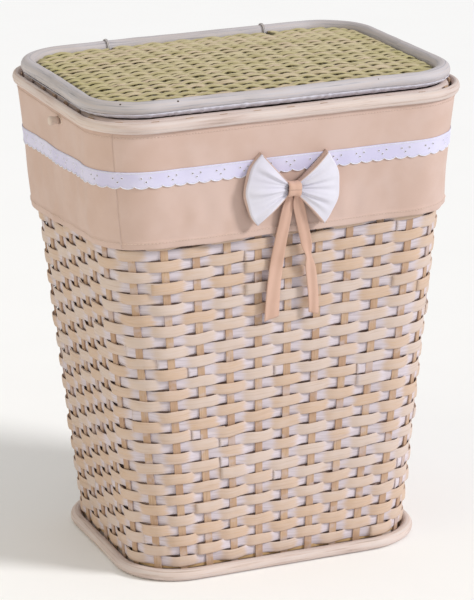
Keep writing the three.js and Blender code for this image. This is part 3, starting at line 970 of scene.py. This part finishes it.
def fan(side, reach, spread, out, bulge, pleat, curl, phase):
    """A loop of the bow, pleated at the knot, whose outer edge curls back; and its weave."""
    across = np.linspace(-1, 1, 97)[None]
    along = np.concatenate([np.linspace(0, 1, 30), 1 + np.linspace(0.1, 1, 9)])[:, None]
    grow, turned = np.clip(along, 0, 1), np.clip(along - 1, 0, 1)
    angle = across * spread
    edge = reach + 3 * MM * across ** 2 + 0.5 * MM * np.cos(9 * across + phase)
    start = BOW.half.x - 2 * MM
    radius = (edge - start) * grow + curl * np.sin(turned * 2.6)
    up = radius * np.sin(angle) + (BOW.half.z - 1.5 * MM) * across * (1 - grow) ** 1.4
    swell = bulge * np.sin(math.pi * np.clip(grow * 0.9, 0, 1)) * (1 - 0.35 * across ** 2)
    depth = grow ** 0.6 * (1 - grow) ** 0.75 * 2.1
    folds = np.cos(across * 7.3 * (1 + 0.12 * across) + phase) + 0.55 * np.cos(across * 15 + 2 * phase)
    folds = folds + 0.35 * np.cos(across * 24 + phase + 2 * grow)
    height = out + swell + pleat * depth * folds - curl * (1 - np.cos(turned * 2.6))
    points = BOW.at(side * (radius * np.cos(angle) + start), up, height)
    return points, (radius + 0.1 * side, across * 0.04)


def add_bow(white, peach):
    """Two white loops over two wider peach ones, which close round them from behind."""
    spread = math.radians(50)
    for side, word, phase in ((-1, "left", 0.6), (1, "right", 2.4)):
        front, weave = fan(side, BOW.reach, spread, 1.0 * MM, 5.5 * MM, 1.6 * MM, 2.4 * MM, phase)
        loop = cloth_piece("bow_fan_" + word, front, weave, white, 0.5 * MM,
                           "bow_loop_" + word)
        piping = add_piping("bow_piping_" + word, front, peach)
        back, _ = fan(side, BOW.reach + 1.5 * MM, spread * 1.03, -6.2 * MM, 1.5 * MM, 0.6 * MM, 1.0 * MM,
                      phase + 1)
        back = close_sides(back, front)
        lining = cloth_piece("bow_lining_" + word, back, (back[..., 0], back[..., 2]), peach, 0.6 * MM,
                             "bow_backing_" + word)


def close_sides(back, front):
    """The peach lining, its three free edges carried forward to the edges of the white loop."""
    steps = np.array([0.3, 0.6, 0.9])
    sides = [back[:, edge, None] + (front[:, edge, None] - back[:, edge, None]) * steps[None, :, None]
             for edge in (0, -1)]
    wide = np.concatenate([sides[0][:, ::-1], back, sides[1]], 1)
    target = np.concatenate([front[-1, :1]] * 3 + [front[-1]] + [front[-1, -1:]] * 3)
    outer = wide[-1] + (target - wide[-1]) * steps[:, None, None]
    return np.concatenate([wide, outer])


def add_piping(name, points, look):
    """A narrow peach edge down both slanting sides of a white loop."""
    bundle = Bundle()
    for column in (0, -1):
        centres = points[:31, column]
        side = unit(np.cross(np.gradient(centres, axis=0), [0, 1.0, 0]))
        out = np.broadcast_to([0, -1.0, 0], side.shape)
        bundle.strand(centres, side, out, round_section(0.75 * MM, 8, 0.8))
    bundle.values = {"cloth": bundle.values["strand"]}
    piece = bundle.piece(name, look)
    return piece


def add_knot(look):
    """A band of cloth wrapped once round the middle, with its edges turned in."""
    turns = 72
    angle = (np.arange(turns + 1) / turns * TAU)[:, None]
    across = np.linspace(-1, 1, 25)[None]
    up, out = (np.sign(v) * np.abs(v) ** 0.62 for v in (np.sin(angle), np.cos(angle)))
    turned_in = np.clip((np.abs(across) - 0.8) / 0.2, 0, 1)
    size = 1 - 0.16 * turned_in ** 2 - 0.012 * np.cos(across * 7 + 1.2 * np.sin(angle)) * (1 - turned_in)
    pinch = 1 - 0.06 * np.cos(across * math.pi)
    points = BOW.at(
        across * BOW.half.x * (1 - 0.05 * turned_in), up * (BOW.half.z - 0.3 * MM) * size * pinch,
        out * (BOW.half.y - 0.4 * MM) * size)
    weave = (across * BOW.half.x, angle * BOW.half.z)
    piece = cloth_piece("bow_knot_band", points, weave, look, 0.7 * MM, "bow_knot", outwards=True)


def add_tail(word, top_across, bottom_across, top_width, bottom_width, twist, look):
    """One loose end of the bow, which drifts sideways as it falls and turns half-way down."""
    low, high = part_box("bow_tail_" + word)
    down = np.linspace(0, 1, 70)[:, None]
    across = np.linspace(-1, 1, 13)[None]
    drift = top_across + (bottom_across - top_across) * np.sin(down * math.pi / 2) ** 1.15
    neck = np.clip(down / 0.13, 0, 1)
    width = (5 * MM + (top_width + (bottom_width - top_width) * down - 5 * MM) * neck * (2 - neck)) / 2
    turn = twist * np.exp(-((down - 0.52) / 0.075) ** 2)
    wave = 0.9 * MM * np.sin(down * 9 + twist) * down
    height = high.z - (high.z - low.z + 2 * MM) * down
    wall = WALL.at(0.75, height, 0)[0][..., 1]  # 0.75 of the way round is the middle of the front
    near = 9.2 * MM + (2.4 * MM if word == "right" else 0) * (1 - 0.6 * down)
    stand = near + 4.5 * MM * (1 - down) ** 3 + wave + 0.5 * MM * np.cos(across * 4 + down * 5)
    x = BOW.middle.x + drift + across * width * np.cos(turn)
    y = wall - stand - across * width * np.sin(turn) * 0.55
    z = height + 2.2 * MM * across * np.clip(down * 8 - 7, 0, 1) * (1 if word == "left" else -1)
    points = np.stack(np.broadcast_arrays(x, y, z), -1)
    piece = cloth_piece("bow_tail_strip_" + word, points, (across * width, height), look, 0.9 * MM,
                        "bow_tail_" + word)


# --- side pegs
PEG_PROFILE = ((0, 0.86), (0.35, 0.86), (0.62, 0.97), (0.8, 1.0), (0.92, 0.93), (0.985, 0.72), (1.0, 0.35))


def add_peg(word, look):
    """A turned peg: its profile is (how far along, how thick there), as shares of the whole."""
    low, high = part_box("side_peg_" + word)
    middle, radius = (low + high) / 2, (high.z - low.z) / 2
    start, long = (low.x, high.x - low.x) if word == "right" else (high.x, low.x - high.x)
    sides = 24
    angle = circle(sides)
    points = [np.stack([np.full(sides, start + along * long), middle.y + size * radius * np.cos(angle),
                        middle.z + size * radius * np.sin(angle)], -1) for along, size in PEG_PROFILE]
    faces = grid_faces(len(points), sides, wrap_columns=True) + caps(len(points), sides)
    piece = mesh_piece("peg_" + word, points, faces, look, outwards=True)
    stand_in(piece, "side_peg_" + word)


def add_buttonhole(word, look):
    """The worked edge of the hole in the cuff that a peg comes through."""
    low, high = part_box("side_peg_" + word)
    middle, radius = (low + high) / 2, (high.z - low.z) / 2
    angle, girth = circle(28), WALL.length(middle.z)
    at_peg = middle.y / girth if word == "right" else 0.5 - middle.y / girth
    share = at_peg + (1.45 * radius * np.cos(angle) + 1.5 * MM) / girth
    z = middle.z + 0.75 * radius * np.sin(angle)
    centres, normal = WALL.at(share, z, cuff_offset(share, z) + 0.5 * MM)
    bundle = Bundle()
    bundle.strand(centres, unit(centres - centres.mean(0)), normal, round_section(0.75 * MM, 6), closed=True)
    bundle.piece("buttonhole_" + word, look)


# --- putting it together
def build():
    weave_wall(split_look())
    stakes = stake_look()
    for number in range(1, STAKES + 1):
        paint_cad_node(f"stake_{number:02d}", stakes)
    paint_cad_node("base_panel", board_look("base_board", "d9bd94", "cbab7f"))
    bent = rod_look("bent_rod", ["d3c0b7", "c7b3ac", "d6cecc"], "99877a")
    lid_rod = rod_look("lid_rod", ["c0bcc2", "b2adb0", "c8bab4"], "8b8688")
    bent_rod("base_ring", "base_hoop", bent, 0.8)
    bent_rod("base_inner_ring", "base_inner_hoop", bent, 0.6)
    bent_rod("rim_outer_ring", "rim_outer_hoop", bent, 1.0, RIM_FLATNESS, math.radians(-24))
    bent_rod("rim_inner_ring", "rim_inner_hoop", bent, 0.8)
    bent_rod("lid_ring", "lid_rim_hoop", lid_rod, 1.0)
    add_nails((0.655, 0.215, 0.3, 0.335, 0.61, 0.83), iron_look())
    weave_lid(willow_look())
    white = cloth_look("white_cotton", "d8d6e1", "d1cedb")
    peach = cloth_look("cotton", "cdb4aa", "c8ada1")
    peach_thread = thread_look("peach_thread", "e4d0c2")
    add_lid_lining(white)
    add_hinge_loops(board_look("cane", "c6c2c4", "b6b1b2"))
    add_liner_bag(peach)
    add_cuff(peach, peach_thread)
    lace = cloth_look("lace", "d6d3ea", "cbc7e3", relief=0.2)
    add_lace(lace, thread_look("lace_thread", "e6e6f1"))
    add_bow(white, peach)
    ribbon = cloth_look("ribbon_cotton", "cfac9b", "c9a593")
    add_knot(ribbon)
    add_tail("left", -1.5 * MM, -20 * MM, 13 * MM, 18 * MM, 0.25, ribbon)
    add_tail("right", 6 * MM, 31 * MM, 14.5 * MM, 12 * MM, -0.85, ribbon)
    peg = board_look("peg_wood", "dccbc0", "cdbbb0")
    for word in ("left", "right"):
        add_peg(word, peg)
        add_buttonhole(word, peach_thread)


add_camera()
add_studio()
build()
